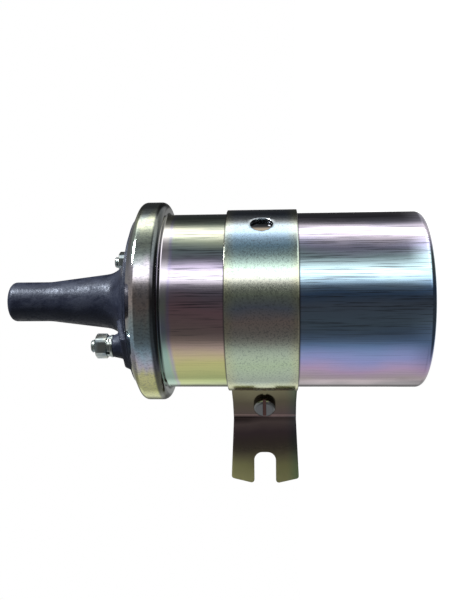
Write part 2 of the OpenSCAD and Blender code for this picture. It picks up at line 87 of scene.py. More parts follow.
def mix_colour(tree, factor, first, second, blend="MIX"):
    """Two colours mixed by a factor; each may be a colour or a socket."""
    node = put(tree, "Mix", data_type="RGBA", blend_type=blend)
    ends = [s for s in node.inputs if s.enabled]
    for socket, value in zip(ends, (factor, first, second)):
        if isinstance(value, bpy.types.NodeSocket):
            tree.links.new(value, socket)
        else:
            socket.default_value = value if isinstance(value, (int, float)) else (*value, 1)
    return [s for s in node.outputs if s.enabled][0]


def spread(tree, value, low, high, to_low=0.0, to_high=1.0, shape="SMOOTHSTEP"):
    """A value taken from one range to another, held at the ends."""
    return put(tree, "MapRange", {"Value": value, "From Min": low, "From Max": high,
                                  "To Min": to_low, "To Max": to_high},
               interpolation_type=shape).outputs["Result"]


panel_light = 1.7
# Share of that light by direction round the coil: degrees from the front towards the right
room_glow = [
    (-180, 0.50), (-168, 0.12), (-155, 0.10), (-142, 0.45), (-132, 0.40), (-122, 0.24), (-104, 0.29),
    (-92, 0.30), (-80, 0.30), (-70, 0.26), (-62, 0.18), (-52, 0.08), (-42, 0.05), (3, 0.04),
    (12, 0.06), (19, 0.13), (26, 0.80), (32, 1.0), (38, 0.90), (46, 0.42), (55, 0.13), (68, 0.085),
    (80, 0.20), (87, 0.48), (93, 0.95), (106, 0.90), (112, 0.30), (119, 0.07), (135, 0.02),
    (152, 0.02), (168, 0.05), (180, 0.50)]
# The same below the horizon, where the pale bench to the right joins the two panels
bench_glow = [(-180, 0.28), (-120, 0.26), (-60, 0.12), (0, 0.03), (16, 0.12), (28, 0.9), (104, 0.9),
              (122, 0.3), (180, 0.28)]
tower_end_glow, base_end_glow = 0.14, 0.03

world = bpy.data.worlds.new("studio")
bpy.context.scene.world = world
world.use_nodes = True
sky = world.node_tree
sky.nodes.clear()
direction = put(sky, "SeparateXYZ", {0: put(sky, "TexCoord").outputs["Generated"]}).outputs
toward_front = maths(sky, "MULTIPLY", direction["Y"], -1.0)
azimuth = maths(sky, "ARCTAN2", direction["X"], toward_front)
turn = maths(sky, "MULTIPLY_ADD", azimuth, 0.5 / math.pi, 0.5)
level, bench_level = (ramp(sky, turn, [(0.5 + a / 360, glow) for a, glow in glows])
                      for glows in (room_glow, bench_glow))
below = spread(sky, direction["Z"], -0.32, -0.16, 1.0, 0.0)
to_tower_end = spread(sky, direction["Z"], 0.35, 0.62)
to_base_end = spread(sky, direction["Z"], -0.85, -0.6, 1.0, 0.0)
glow = mix_colour(sky, below, level, bench_level)
glow = mix_colour(sky, to_tower_end, glow, (tower_end_glow,) * 3)
glow = mix_colour(sky, to_base_end, glow, (base_end_glow,) * 3)
room = put(sky, "Background", {"Color": glow, "Strength": panel_light})
white = put(sky, "Background", {"Color": (1, 1, 1, 1), "Strength": 1.0})
seen = put(sky, "MixShader", {0: put(sky, "LightPath").outputs["Is Camera Ray"],
                              1: room.outputs[0], 2: white.outputs[0]})
sky.links.new(seen.outputs[0], put(sky, "OutputWorld").inputs["Surface"])

lamp_turn, lamp_rise, lamp_away = 66, 36, 0.8
lamp_w, lamp_h, lamp_watts, lamp_aim_z = 0.22, 0.34, 13.0, 0.1
lamp = bpy.data.lights.new("lamp", "AREA")
lamp.shape, lamp.size, lamp.size_y, lamp.energy = "RECTANGLE", lamp_w, lamp_h, lamp_watts
lamp_object = bpy.data.objects.new("lamp", lamp)
lamp_back = Vector((math.sin(math.radians(lamp_turn)) * math.cos(math.radians(lamp_rise)),
                    -math.cos(math.radians(lamp_turn)) * math.cos(math.radians(lamp_rise)),
                    math.sin(math.radians(lamp_rise))))
lamp_object.matrix_world = (Matrix.Translation(lamp_back * lamp_away + Vector((0, 0, lamp_aim_z)))
                            @ lamp_back.to_track_quat("Z", "Y").to_matrix().to_4x4())
bpy.context.scene.collection.objects.link(lamp_object)

# The camera lies on its side, level with the can, so that the tower points to the left
camera_place = Vector((-1.39, -237.4, 47.49)) * mm
camera_yaw, camera_pitch, camera_roll = 0.0668, 0.0064, 0.0070
camera_data = bpy.data.cameras.new("camera")
camera_data.sensor_width, camera_data.lens = 36, 42.9
camera_data.clip_start, camera_data.clip_end = 0.01, 10
camera = bpy.data.objects.new("camera", camera_data)
turned = (Matrix.Rotation(camera_roll, 3, "Z") @ Matrix.Rotation(camera_pitch, 3, "X")
          @ Matrix.Rotation(camera_yaw, 3, "Y"))
right, up, ahead = (Vector((row[1], row[2], -row[0])) for row in turned)
camera.matrix_world = (Matrix.Translation(camera_place)
                       @ Matrix((right, up, -ahead)).transposed().to_4x4())
bpy.context.scene.collection.objects.link(camera)
bpy.context.scene.camera = camera
bpy.context.scene.view_settings.view_transform = "Standard"


def disc_faces(steps):
    """The fan of triangles between point 0 and the ring of the other points."""
    ring = np.arange(steps)
    return np.column_stack([np.zeros(steps, int), 1 + ring, 1 + (ring + 1) % steps]).tolist()


table_r, table_steps = 1.2, 96
a = np.linspace(0, 2 * math.pi, table_steps, endpoint=False)
table_points = np.vstack([[0, 0, 0], np.column_stack([np.cos(a), np.sin(a), 0 * a]) * table_r])
table_mesh = bpy.data.meshes.new("light_table")
table_mesh.from_pydata(table_points.tolist(), [], disc_faces(table_steps))
light_table = bpy.data.objects.new("light_table", table_mesh)
bpy.context.scene.collection.objects.link(light_table)
lit_acrylic = bpy.data.materials.new("lit_acrylic")
lit_acrylic.use_nodes = True
tree = lit_acrylic.node_tree
acrylic = tree.nodes["Principled BSDF"].inputs
acrylic["Base Color"].default_value = (0.22, 0.22, 0.22, 1)
acrylic["Roughness"].default_value = 0.9
acrylic["Specular IOR Level"].default_value = 0
acrylic["Emission Color"].default_value = (1, 1, 1, 1)
acrylic["Emission Strength"].default_value = 0.97
table_mesh.materials.append(lit_acrylic)
light_table.visible_glossy = False
light_table.visible_diffuse = False


# ---------------------------------------------------------------- can
# The can is one cup of 0.8 mm sheet steel, deep drawn, so fine draw lines run along its side.
# Its mouth is flared and rolled over the cap. It is zinc plated and passivated, which leaves
# bluish, lavender and yellow tints. Painted reflections and painted shade are mixed into its colour.

can_r, can_wall, can_h, base_corner_r = 28.5, 0.8, 80.5, 2.2
rim_r, neck_r, rim_rear_r, rim_crest_h, rim_front_r = 32.65, 0.8, 2.2, 4.3, 2.0
lip_slope, lip_l = 26, 4.0
strap_z, strap_half = 50.8, 11.15
flange_z = can_h + neck_r
crest_z = flange_z + rim_rear_r
front_z = crest_z + rim_crest_h
lip_normal = 90 - lip_slope
round_steps = 288


def arc(centre, radius, start, end, steps=10):
    """Points on a circle: centre plus radius times cosine and sine, angles in degrees."""
    a = np.radians(np.linspace(start, end, steps + 1))
    return np.column_stack([centre[0] + radius * np.cos(a), centre[1] + radius * np.sin(a)])


def heading(degrees):
    """The unit vector at an angle."""
    return np.array([math.cos(math.radians(degrees)), math.sin(math.radians(degrees))])


def fill_in(line, step):
    """The same line with points put in, so that no stretch is longer than step."""
    line = np.asarray(line, float)
    lengths = np.hypot(*np.diff(line, axis=0).T)
    parts = [a + (b - a) * np.linspace(0, 1, max(1, math.ceil(length / step)), endpoint=False)[:, None]
             for a, b, length in zip(line[:-1], line[1:], lengths)]
    return np.vstack(parts + [line[-1:]])


def rim_line(inward):
    """Section of the rolled rim, moved inwards: rear edge, crest, front edge, sloping lip."""
    front = np.array([rim_r - rim_front_r, front_z])
    lip_start = front + (rim_front_r - inward) * heading(lip_normal)
    return np.vstack([arc((rim_r - rim_rear_r, crest_z), rim_rear_r - inward, -90, 0),
                      arc(front, rim_front_r - inward, 0, lip_normal),
                      [lip_start + lip_l * heading(lip_normal + 90)]])


def can_line(inward):
    """Section of the can, moved inwards from its outer side by the given depth."""
    return np.vstack([[[0, inward]],
                      arc((can_r - base_corner_r, base_corner_r), base_corner_r - inward, -90, 0),
                      arc((can_r + neck_r, can_h), neck_r + inward, 180, 90),
                      rim_line(inward)])


def revolve(line, angles):
    """Points of a turned part: radius times cosine and sine of each angle, and height."""
    a = np.radians(angles)
    r, z = np.asarray(line, float)[:, :2].T
    return np.stack([r[:, None] * np.cos(a), r[:, None] * np.sin(a),
                     np.broadcast_to(z[:, None], (len(r), len(a)))], axis=-1)


def grid_faces(rows, columns, round_rows=False, round_columns=True):
    """Four-sided faces between neighbouring points of a grid, closed round either way if asked."""
    i = np.arange(rows if round_rows else rows - 1)[:, None]
    j = np.arange(columns if round_columns else columns - 1)[None, :]
    i2, j2 = (i + 1) % rows, (j + 1) % columns
    faces = np.stack([i * columns + j, i * columns + j2, i2 * columns + j2, i2 * columns + j], -1)
    return faces.reshape(-1, 4)


def piece(name, shells, finish, body, nodes=(), crease=32):
    """One object from shells of points in millimetres and faces. Doubles are merged, so poles and
    seams close, edges sharper than the crease stay sharp, and it rides on a body."""
    points, faces, start = [], [], 0
    for shell_points, shell_faces in shells:
        flat = np.asarray(shell_points, float).reshape(-1, 3)
        points.append(flat)
        faces += [[start + k for k in face] for face in np.asarray(shell_faces).tolist()]
        start += len(flat)
    mesh = bpy.data.meshes.new(name)
    mesh.from_pydata((np.vstack(points) * mm).tolist(), [], faces)
    work = bmesh.new()
    work.from_mesh(mesh)
    bmesh.ops.remove_doubles(work, verts=work.verts, dist=0.002 * mm)
    work.to_mesh(mesh)
    work.free()
    mesh.validate()
    mesh.shade_smooth()
    mesh.set_sharp_from_angle(angle=math.radians(crease))
    mesh.materials.append(finish)
    made = bpy.data.objects.new(name, mesh)
    bpy.context.scene.collection.objects.link(made)
    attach(made, body)
    if nodes:
        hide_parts(*nodes)
    return made


def finish_of(name, base, metallic, roughness, **sockets):
    """A material with its plain values on the shader, its tree, and Object coordinates."""
    material = bpy.data.materials.new(name)
    material.use_nodes = True
    tree = material.node_tree
    shader = tree.nodes["Principled BSDF"]
    shader.inputs["Base Color"].default_value = (*base, 1)
    shader.inputs["Metallic"].default_value = metallic
    shader.inputs["Roughness"].default_value = roughness
    for key, value in sockets.items():
        shader.inputs[key.replace("_", " ")].default_value = value
    return material, tree, shader.inputs, put(tree, "TexCoord").outputs["Object"]


def stretched(tree, coordinates, scale):
    """Coordinates times a scale along each axis, in repeats per millimetre."""
    return put(tree, "Mapping", {"Vector": coordinates, "Scale": [s / mm for s in scale]}).outputs[0]


def noise(tree, coordinates, detail=2.0, roughness=0.5):
    """Smooth noise round 0.5 that changes over about one unit of the coordinates."""
    return put(tree, "TexNoise", {"Vector": coordinates, "Scale": 1.0, "Detail": detail,
                                  "Roughness": roughness}).outputs["Fac"]


def bump(tree, height, depth, strength=1.0, under=None):
    """A relief of the given depth in millimetres."""
    inputs = {"Height": height, "Distance": depth * mm, "Strength": strength}
    if under is not None:
        inputs["Normal"] = under
    return put(tree, "Bump", inputs).outputs["Normal"]


def across(low, high, stops):
    """Stops given in millimetres, as shares of the way from low to high."""
    return [((place - low) / (high - low), colour) for place, colour in stops]


plated_steel, tree, shader, place = finish_of("plated_steel", (0.75, 0.75, 0.72), 1.0, 0.2)
x, y, z = put(tree, "SeparateXYZ", {0: place}).outputs
cloud = noise(tree, stretched(tree, place, (0.05, 0.05, 0.035)), 3.0)
fine_cloud = noise(tree, stretched(tree, place, (0.4, 0.4, 0.12)), 3.0)
sway = maths(tree, "MULTIPLY_ADD", maths(tree, "SUBTRACT", cloud, 0.5), 9 * mm, x)
share = spread(tree, sway, -can_r * mm, can_r * mm, shape="LINEAR")
# Across the can the tints are partly the plating film's colours and partly painted reflections: the darkest
# stops (near x 12 mm by the rim, near x 2 mm by the base, and at both edges) paint the dark gaps between
# the reflected panels.
near_rim = ramp(tree, share, across(-can_r, can_r, [
    (-27.5, (0.32, 0.36, 0.18)), (-25.5, (0.70, 0.82, 0.34)), (-19.5, (0.84, 0.82, 0.36)),
    (-17, (0.90, 0.76, 0.46)), (-14, (0.92, 0.70, 0.60)), (-10, (0.78, 0.58, 0.56)),
    (-3, (0.86, 0.52, 0.60)), (2, (0.62, 0.54, 0.70)), (6, (0.86, 0.80, 0.90)),
    (9.5, (0.80, 0.70, 0.94)), (12, (0.36, 0.36, 0.46)), (15, (0.48, 0.62, 0.66)),
    (18, (0.74, 0.84, 0.64)), (21, (0.92, 0.90, 0.68)), (23.5, (0.60, 0.70, 0.56)),
    (27, (0.50, 0.62, 0.62))]))
near_base = ramp(tree, share, across(-can_r, can_r, [
    (-27.5, (0.34, 0.30, 0.32)), (-25.5, (0.74, 0.62, 0.66)), (-22, (0.74, 0.54, 0.82)),
    (-18, (0.48, 0.52, 0.96)), (-13, (0.32, 0.52, 0.92)), (-8, (0.40, 0.58, 0.78)),
    (-2, (0.40, 0.52, 0.72)), (2, (0.22, 0.40, 0.72)), (5, (0.46, 0.68, 0.92)),
    (9, (0.66, 0.90, 0.96)), (13, (0.66, 0.90, 0.98)), (16, (0.70, 0.70, 0.98)),
    (19, (0.96, 0.86, 1.0)), (22, (0.94, 0.84, 0.98)), (25, (0.50, 0.48, 0.60))]))
down_can = spread(tree, maths(tree, "MULTIPLY_ADD", fine_cloud, 14 * mm, z), 44 * mm, 68 * mm)
tint = mix_colour(tree, down_can, near_base, near_rim)
# The film is thicker round the neck: teal low down, lavender higher up, with a violet fringe
neck_sway = maths(tree, "MULTIPLY_ADD", cloud, 4 * mm, z)
neck = spread(tree, neck_sway, 78.5 * mm, 82.5 * mm, shape="LINEAR")
neck_tint = ramp(tree, share, across(-can_r, can_r, [
    (-26, (0.56, 0.78, 0.62)), (-16, (0.50, 0.74, 0.66)), (-9, (0.52, 0.58, 0.74)),
    (-3, (0.66, 0.74, 0.66)), (4, (0.78, 0.74, 0.84)), (14, (0.80, 0.74, 0.84)),
    (25, (0.84, 0.84, 0.68))]))
tint = mix_colour(tree, spread(tree, neck, 0.25, 0.75), tint, neck_tint)
fringe = ramp(tree, neck, [(0.2, 0.0), (0.42, 0.55), (0.6, 0.0)])
tint = mix_colour(tree, fringe, tint, (0.56, 0.50, 0.86))
on_rim = spread(tree, z, 81.0 * mm, 82.0 * mm)
rim_cloud = noise(tree, stretched(tree, place, (0.07, 0.07, 0.25)), 2.0)
rim_sway = maths(tree, "MULTIPLY_ADD", maths(tree, "SUBTRACT", rim_cloud, 0.5), 14 * mm, x)
rim_share = spread(tree, rim_sway, -rim_r * mm, rim_r * mm, shape="LINEAR")
rim_tint = ramp(tree, rim_share, across(-rim_r, rim_r, [
    (-30, (0.74, 0.78, 0.32)), (-22, (0.78, 0.76, 0.38)), (-19, (0.66, 0.62, 0.74)),
    (-14, (0.54, 0.78, 0.94)), (-8, (0.66, 0.78, 0.78)), (-2, (0.86, 0.72, 0.66)),
    (4, (0.74, 0.68, 0.70)), (9, (0.84, 0.80, 0.90)), (14, (0.62, 0.74, 0.70)),
    (20, (0.66, 0.76, 0.62)), (25, (0.84, 0.88, 0.62)), (30, (0.62, 0.72, 0.72))]))
rim_spots = noise(tree, stretched(tree, place, (1.7, 1.7, 1.2)), 3.0, 0.7)
rim_worn = spread(tree, rim_spots, 0.36, 0.54, 0.45, 0.0)
rim_tint = mix_colour(tree, rim_worn, rim_tint, (0.20, 0.22, 0.25))
tint = mix_colour(tree, on_rim, tint, rim_tint)
# Fine dark draw lines, fewer low down, and painted shade behind the rim, on the lip, beside the strap and
# under it
draw_lines = noise(tree, stretched(tree, place, (1.3, 1.3, 0.03)), 2.0, 0.5)
scores = noise(tree, stretched(tree, place, (2.4, 2.4, 0.05)), 3.0, 0.65)
below_neck = spread(tree, z, 76 * mm, 80 * mm, 1.0, 0.0)
scored = maths(tree, "MULTIPLY", below_neck, spread(tree, x, -15 * mm, -4 * mm, 0.2, 1.0))
dark_line = maths(tree, "MULTIPLY", spread(tree, scores, 0.37, 0.49, 0.7, 0.0), scored)
tint = mix_colour(tree, dark_line, tint, (0.10, 0.11, 0.13))
# Painted shade: a near-black band in the shadowed gap behind the rim
shade_behind_rim = maths(tree, "MULTIPLY", spread(tree, z, 80.7 * mm, 81.3 * mm, 0.0, 0.85),
                   spread(tree, z, 82.9 * mm, 83.7 * mm, 1.0, 0.0))
tint = mix_colour(tree, shade_behind_rim, tint, (0.05, 0.055, 0.07))
# Painted shade on the lip's upper part, next to the cap's edge
shade_on_lip = maths(tree, "MULTIPLY", spread(tree, z, 89.0 * mm, 90.0 * mm, 0.0, 0.85),
               spread(tree, x, 4 * mm, 14 * mm))
tint = mix_colour(tree, shade_on_lip, tint, (0.04, 0.045, 0.06))
from_strap = maths(tree, "ABSOLUTE", maths(tree, "SUBTRACT", z, strap_z * mm))
# Painted shade: a dark line on the can along each edge of the strap
shade_beside_strap = spread(tree, from_strap, strap_half * mm, (strap_half + 0.55) * mm, 0.7, 0.0)
under_strap = spread(tree, from_strap, (strap_half - 0.75) * mm, (strap_half - 0.25) * mm, 1.0, 0.0)
tint = mix_colour(tree, shade_beside_strap, tint, (0.08, 0.08, 0.09))
# Painted shade under the strap, seen through its round hole: tan, and near-black above x 22 mm where the
# hole's edge shades it
in_shade = spread(tree, x, 21.6 * mm, 22.6 * mm)
shade_under_strap = mix_colour(tree, in_shade, (0.30, 0.25, 0.19), (0.03, 0.03, 0.035))
tint = mix_colour(tree, under_strap, tint, shade_under_strap)
tree.links.new(tint, shader["Base Color"])
grain = noise(tree, stretched(tree, place, (5, 5, 5)), 2.0)
lines = maths(tree, "MULTIPLY", draw_lines, scored)
ripple = noise(tree, stretched(tree, place, (1.0, 1.0, 1.6)), 3.0, 0.6)
hammered = maths(tree, "MULTIPLY", ripple, on_rim)
relief = bump(tree, hammered, 0.007, under=bump(tree, lines, 0.008))
tree.links.new(bump(tree, grain, 0.0012, under=relief), shader["Normal"])
tree.links.new(spread(tree, draw_lines, 0.3, 0.7, 0.06, 0.13), shader["Roughness"])

longest_step = 6
can_grid = revolve(np.vstack([fill_in(can_line(0), longest_step), can_line(can_wall)[::-1]]),
                   np.arange(round_steps) * 360 / round_steps)
piece("coil_can", [(can_grid, grid_faces(*can_grid.shape[:2]))], plated_steel,
      "coil", ["can"])


# ---------------------------------------------------------------- cap and tower
# The cap is one moulding of dark phenolic resin: a clamped flange, a sloping face with a ring
# step, two raised blocks for the terminals, and the tower with the high-tension socket.

cap_gap, cap_rise, face_slope, ring_in, ring_step = 0.1, 0.5, 17, 2.9, 0.2
cap_wall_t, flange_w, sleeve_r, gasket_t = 4.2, 4.4, 11.0, 1.5
tower_root_r, tower_fillet_r, taper_h = 9.65, 8.0, 24.5
tower_tip_r, tower_tip_h, tip_edge_r = 6.6, 13.6, 2.0
socket_r, socket_depth, mouth_chamfer = 4.0, 20.0, 0.3
shank_bore_r, sleeve_bore_r, cup_h = 2.55, 3.5, 5.0
stud_r, stud_angles = 22.3, (231, 51)
block_h, block_w, block_corner, block_end, block_past = 1.5, 12.0, 1.0, 0.6, 2.0
ring_run, taper_blend_r, mouth_edge_r = 0.02, 20, 0.15
cap_edge_r, cap_edge_drop, sleeve_edge, flange_edge = 0.3, 0.22, 0.3, 0.2
pad_r, pad_h, mould_edge = 3.7, 1.8, 0.42

lip_end = rim_line(0)[-1]
lip_under = rim_line(can_wall + cap_gap)[-1]
cap_r = min(lip_end[0], lip_under[0]) - cap_gap
cap_edge_z = lip_end[1] + cap_rise
cap_seat_z = flange_z + can_wall + gasket_t
flange_r = rim_r - can_wall - cap_gap
skirt_r = flange_r - flange_w
ring_r = cap_r - ring_in
slope = math.tan(math.radians(face_slope))
block_r = cap_r - block_end
block_in_r = stud_r - block_w / 2


def face_z(r):
    """Height of the sloping face at a radius, with the ring step inside ring_r."""
    return cap_edge_z + (cap_r - r) * slope + np.where(np.asarray(r) < ring_r, ring_step, 0)


def round_off(points, radii, steps=8):
    """A line with each inner corner swapped for an arc of its radius, tangent to both sides."""
    line = [points[0]]
    for before, corner, after, radius in zip(points, points[1:], points[2:], radii):
        before, corner, after = (np.asarray(p, float) for p in (before, corner, after))
        d0 = (before - corner) / np.hypot(*(before - corner))
        d1 = (after - corner) / np.hypot(*(after - corner))
        if not radius or abs(d0 @ d1) > 0.99999:
            line.append(corner)
            continue
        half = math.acos(d0 @ d1) / 2
        centre = corner + (d0 + d1) / np.hypot(*(d0 + d1)) * radius / math.sin(half)
        p0, p1 = (corner + d * radius / math.tan(half) - centre for d in (d0, d1))
        start = math.degrees(math.atan2(p0[1], p0[0]))
        swing = math.degrees(math.atan2(p0[0] * p1[1] - p0[1] * p1[0], p0 @ p1))
        line += list(arc(centre, radius, start, start + swing, steps))
    line.append(points[-1])
    return np.array(line, float)


root_z = float(face_z(tower_root_r))
taper_end_z = root_z + taper_h
tip_z = taper_end_z + tower_tip_h
ceiling_z = float(face_z(cap_r)) - cap_wall_t + ring_step
socket_z = tip_z - socket_depth
cup_z = socket_z - cup_h
sleeve_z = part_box("cap")[0].z / mm
cup_tail_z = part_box("ht_terminal")[0].z / mm
pad_z = float(face_z(stud_r)) + block_h + pad_h


def smooth_step(value):
    """0 below 0, 1 above 1, and 3v^2 - 2v^3 in between."""
    v = np.clip(value, 0, 1)
    return v * v * (3 - 2 * v)


def inside_block(r, angle, stud_angle):
    """How far a point lies inside a block's outline: a rectangle with round corners, which would
    run on past the block's outer end and is cut there."""
    a = np.radians(angle - stud_angle)
    along, side = r * np.cos(a), np.abs(r * np.sin(a))
    outer = block_r + block_past
    middle, half = (block_in_r + outer) / 2, (outer - block_in_r) / 2
    dx = np.abs(along - middle) - (half - block_corner)
    dy = side - (block_w / 2 - block_corner)
    outside = np.hypot(np.maximum(dx, 0), np.maximum(dy, 0)) + np.minimum(np.maximum(dx, dy), 0)
    return np.minimum(block_corner - outside, block_r - r)


def cap_height(r, z, angle):
    """The face's height with the blocks, parallel to the face, and the flat round pads on them."""
    for stud_angle in stud_angles:
        in_block = smooth_step(inside_block(r, angle, stud_angle) / mould_edge / 2 + 0.5)
        top = cap_edge_z + (cap_r - r) * slope + block_h
        facing = np.cos(np.radians(angle - stud_angle)) > 0
        z = np.where(facing, z + (np.maximum(top, z) - z) * in_block, z)
        a = np.radians(angle - stud_angle)
        from_stud = np.hypot(r * np.cos(a) - stud_r, r * np.sin(a))
        in_pad = smooth_step((pad_r - from_stud) / mould_edge / 2 + 0.5)
        z = z + (np.maximum(pad_z, z) - z) * in_pad
    return z


flange = np.vstack([[[skirt_r, cap_seat_z], [flange_r - flange_edge, cap_seat_z],
                     [flange_r, cap_seat_z + flange_edge]],
                    arc((rim_r - rim_front_r, front_z), rim_front_r - can_wall - cap_gap, 0, lip_normal, 6),
                    [lip_under, [cap_r, lip_under[1]]]])
tower = round_off(
    [[cap_r, cap_edge_z], [ring_r + ring_run, face_z(ring_r + ring_run)],
     [ring_r - ring_run, face_z(ring_r - ring_run)], [tower_root_r, root_z],
     [tower_tip_r, taper_end_z], [tower_tip_r, tip_z],
     [socket_r + mouth_chamfer, tip_z], [socket_r, tip_z - mouth_chamfer], [socket_r, cup_z]],
    [0, 0, tower_fillet_r, taper_blend_r, tip_edge_r, mouth_edge_r, mouth_edge_r])
face_top_z, face_step, shaft_step = root_z - 1.0, 0.2, 2.0
face = fill_in(tower[tower[:, 1] < face_top_z], face_step)
shaft = fill_in(tower[tower[:, 1] >= face_top_z], shaft_step)
under = np.array([[shank_bore_r, cup_z], [shank_bore_r, cup_tail_z], [sleeve_bore_r, cup_tail_z],
                  [sleeve_bore_r, sleeve_z], [sleeve_r - sleeve_edge, sleeve_z],
                  [sleeve_r, sleeve_z + sleeve_edge], [sleeve_r, ceiling_z], [skirt_r, ceiling_z]])
edge = arc((cap_r - cap_edge_r, cap_edge_z - cap_edge_drop), cap_edge_r, 0, 90 - face_slope, 5)
cap_line = np.vstack([flange, edge, face[1:], shaft, under])
block_turn, between_turn = 19, 20.5
near_stud = np.linspace(-block_turn, block_turn, 84)
between = np.linspace(between_turn, 180 - between_turn, 72)
cap_angles = np.concatenate([angle + part for angle in sorted(stud_angles)
                             for part in (near_stud, between)])
cap_grid = revolve(cap_line, cap_angles)
on_face = slice(len(flange), len(flange) + len(edge) + len(face) - 1)
face_r = cap_line[on_face, 0][:, None]
cap_grid[on_face, :, 2] = cap_height(face_r, cap_line[on_face, 1][:, None], cap_angles[None, :])

phenolic, tree, shader, place = finish_of("phenolic", (0.012, 0.015, 0.027), 0.0, 0.4,
                                         Specular_IOR_Level=0.32,
                                         Specular_Tint=(0.72, 0.82, 1.0, 1.0))
bloom = noise(tree, stretched(tree, place, (0.30, 0.30, 0.14)), 3.0, 0.6)
tree.links.new(ramp(tree, bloom, [(0.3, (0.009, 0.011, 0.021)), (0.55, (0.013, 0.016, 0.030)),
                                  (0.75, (0.022, 0.026, 0.042))]), shader["Base Color"])
pores = noise(tree, stretched(tree, place, (1.1, 1.1, 1.1)), 3.0, 0.7)
dullness = maths(tree, "MULTIPLY", bloom, pores)
tree.links.new(spread(tree, dullness, 0.16, 0.36, 0.30, 0.60), shader["Roughness"])
tree.links.new(bump(tree, pores, 0.055, under=bump(tree, bloom, 0.10)), shader["Normal"])
piece("cap_moulding", [(cap_grid, grid_faces(*cap_grid.shape[:2], round_rows=True))],
      phenolic, "coil", ["cap"], crease=40)


# ---------------------------------------------------------------- terminals
# Each terminal is a threaded stud held from below, a plain washer, a split washer and a hex nut,
# all zinc plated with a clear pale finish. Each nut lifts along its stud.

stud_thread_r, thread_pitch, thread_depth, thread_steps = 2.0, 0.7, 0.22, 40
stud_proud, stud_head_r, stud_head_h, stud_tail_r, stud_tail_h = 1.6, 4.0, 2.0, 1.5, 4.0
stud_edge, ring_steps = 0.2, 48
washer_r, washer_t, washer_hole_r = 3.5, 0.8, 2.15
split_r, split_t, split_gap, split_rise, split_edge = 3.3, 1.0, 0.9, 0.06, 0.15
nut_half, nut_h, nut_bore_r, nut_chamfer = 3.5, 3.6, 2.05, 30
nut_wear, nut_wear_turn, nut_mouth, nut_face_share, nut_drop = 0.15, 6, 0.35, 0.93, 0.04
# The rounded edge between a nut's side and its cone: distance inside the side, and past the cone
nut_edge = [(0.12, -0.05), (0.03, 0.02), (0.0, 0.12)]
spring_z = pad_z + washer_t
nut_z = spring_z + split_t
stud_tip_z = nut_z + nut_h + stud_proud


def thread(radius, low, high, steps=thread_steps, tip=0.4):
    """A screw thread: the radius dips by a rounded V whose phase climbs one pitch a turn, and
    narrows over the tip. Rows run up the thread."""
    a = np.linspace(0, 2 * math.pi, steps, endpoint=False)[None, :]
    z = np.arange(low, high, thread_pitch / 10)[:, None]
    phase = z / thread_pitch - a / (2 * math.pi)
    dip = 0.5 - 0.5 * np.cos(2 * math.pi * phase)
    r = radius - thread_depth * dip ** 1.4
    r = np.minimum(r, radius - tip + (high - z))
    rows = np.stack([r * np.cos(a), r * np.sin(a), z + 0 * a], -1)
    end = np.stack([(radius - tip) * np.cos(a), (radius - tip) * np.sin(a), high + 0 * a], -1)
    middle = np.stack([0 * a, 0 * a, high + 0 * a], -1)
    return np.concatenate([rows, end, middle])


def ring_line(inner, outer, low, high, edge=0.12):
    """Section of a flat ring with rounded edges."""
    middle = (inner + outer) / 2
    return round_off([[middle, low], [outer, low], [outer, high], [inner, high], [inner, low],
                      [middle, low]], [edge] * 4, 3)[:-1]


def hexagon_nut(half, height, bore, steps=96):
    """A hex nut: the side's radius is half the width over the cosine of the angle from the middle
    of each flat, its corners are a little worn, and a cone takes them off at both ends."""
    degrees = np.arange(steps) * 360 / steps
    off_flat = (degrees % 60) - 30
    side = half / np.cos(np.radians(off_flat))
    side = side - nut_wear * np.exp(-((30 - np.abs(off_flat)) / nut_wear_turn) ** 2)
    drop = (side - half) * math.tan(math.radians(nut_chamfer)) + nut_drop
    full = np.full(steps, 1.0)
    lower = [(bore * full, nut_mouth * full), ((bore + nut_mouth) * full, 0 * full),
             (nut_face_share * half * full, 0 * full)]
    lower += [(side - inside, drop + past) for inside, past in nut_edge]
    rows = lower + [(r, height - h) for r, h in lower[::-1]]
    a = np.radians(degrees)
    return np.stack([np.stack([r * np.cos(a), r * np.sin(a), h], -1) for r, h in rows])


def split_ring(inner, outer, thickness, gap, steps=60):
    """A spring washer: the ring's section goes round from one side of the gap to the other and
    climbs by a little; each end closes on the section's middle."""
    section = ring_line(inner, outer, 0, thickness, split_edge)
    open_angle = math.degrees(gap / outer)
    a = np.radians(np.linspace(open_angle, 360 - open_angle, steps))
    a = np.concatenate([a[:1], a, a[-1:]])
    climb = np.linspace(-split_rise, split_rise, len(a))
    shrink = np.ones(len(a))
    shrink[[0, -1]] = 0
    centre = section.mean(0)
    r = centre[0] + (section[None, :, 0] - centre[0]) * shrink[:, None]
    z = centre[1] + (section[None, :, 1] - centre[1]) * shrink[:, None] + climb[:, None]
    return np.stack([r * np.cos(a)[:, None], r * np.sin(a)[:, None], z], -1)


def at_stud(points, stud_angle, height=0.0, turn=0.0):
    """Points moved to a stud: turned by the stud's angle plus turn, then out to it and up."""
    a, out = math.radians(stud_angle + turn), stud_r * heading(stud_angle)
    x, y, z = np.moveaxis(np.asarray(points, float), -1, 0)
    return np.stack([x * math.cos(a) - y * math.sin(a) + out[0],
                     x * math.sin(a) + y * math.cos(a) + out[1], z + height], -1)


zinc, tree, shader, place = finish_of("zinc_hardware", (0.70, 0.74, 0.74), 1.0, 0.24)
patches = noise(tree, stretched(tree, place, (0.5, 0.5, 0.5)), 3.0, 0.6)
tree.links.new(ramp(tree, patches, [(0.3, (0.34, 0.42, 0.47)), (0.5, (0.56, 0.63, 0.62)),
                                    (0.7, (0.74, 0.76, 0.68))]), shader["Base Color"])
tree.links.new(spread(tree, patches, 0.3, 0.7, 0.22, 0.12), shader["Roughness"])
tree.links.new(bump(tree, noise(tree, stretched(tree, place, (2, 2, 2)), 2.0), 0.008), shader["Normal"])

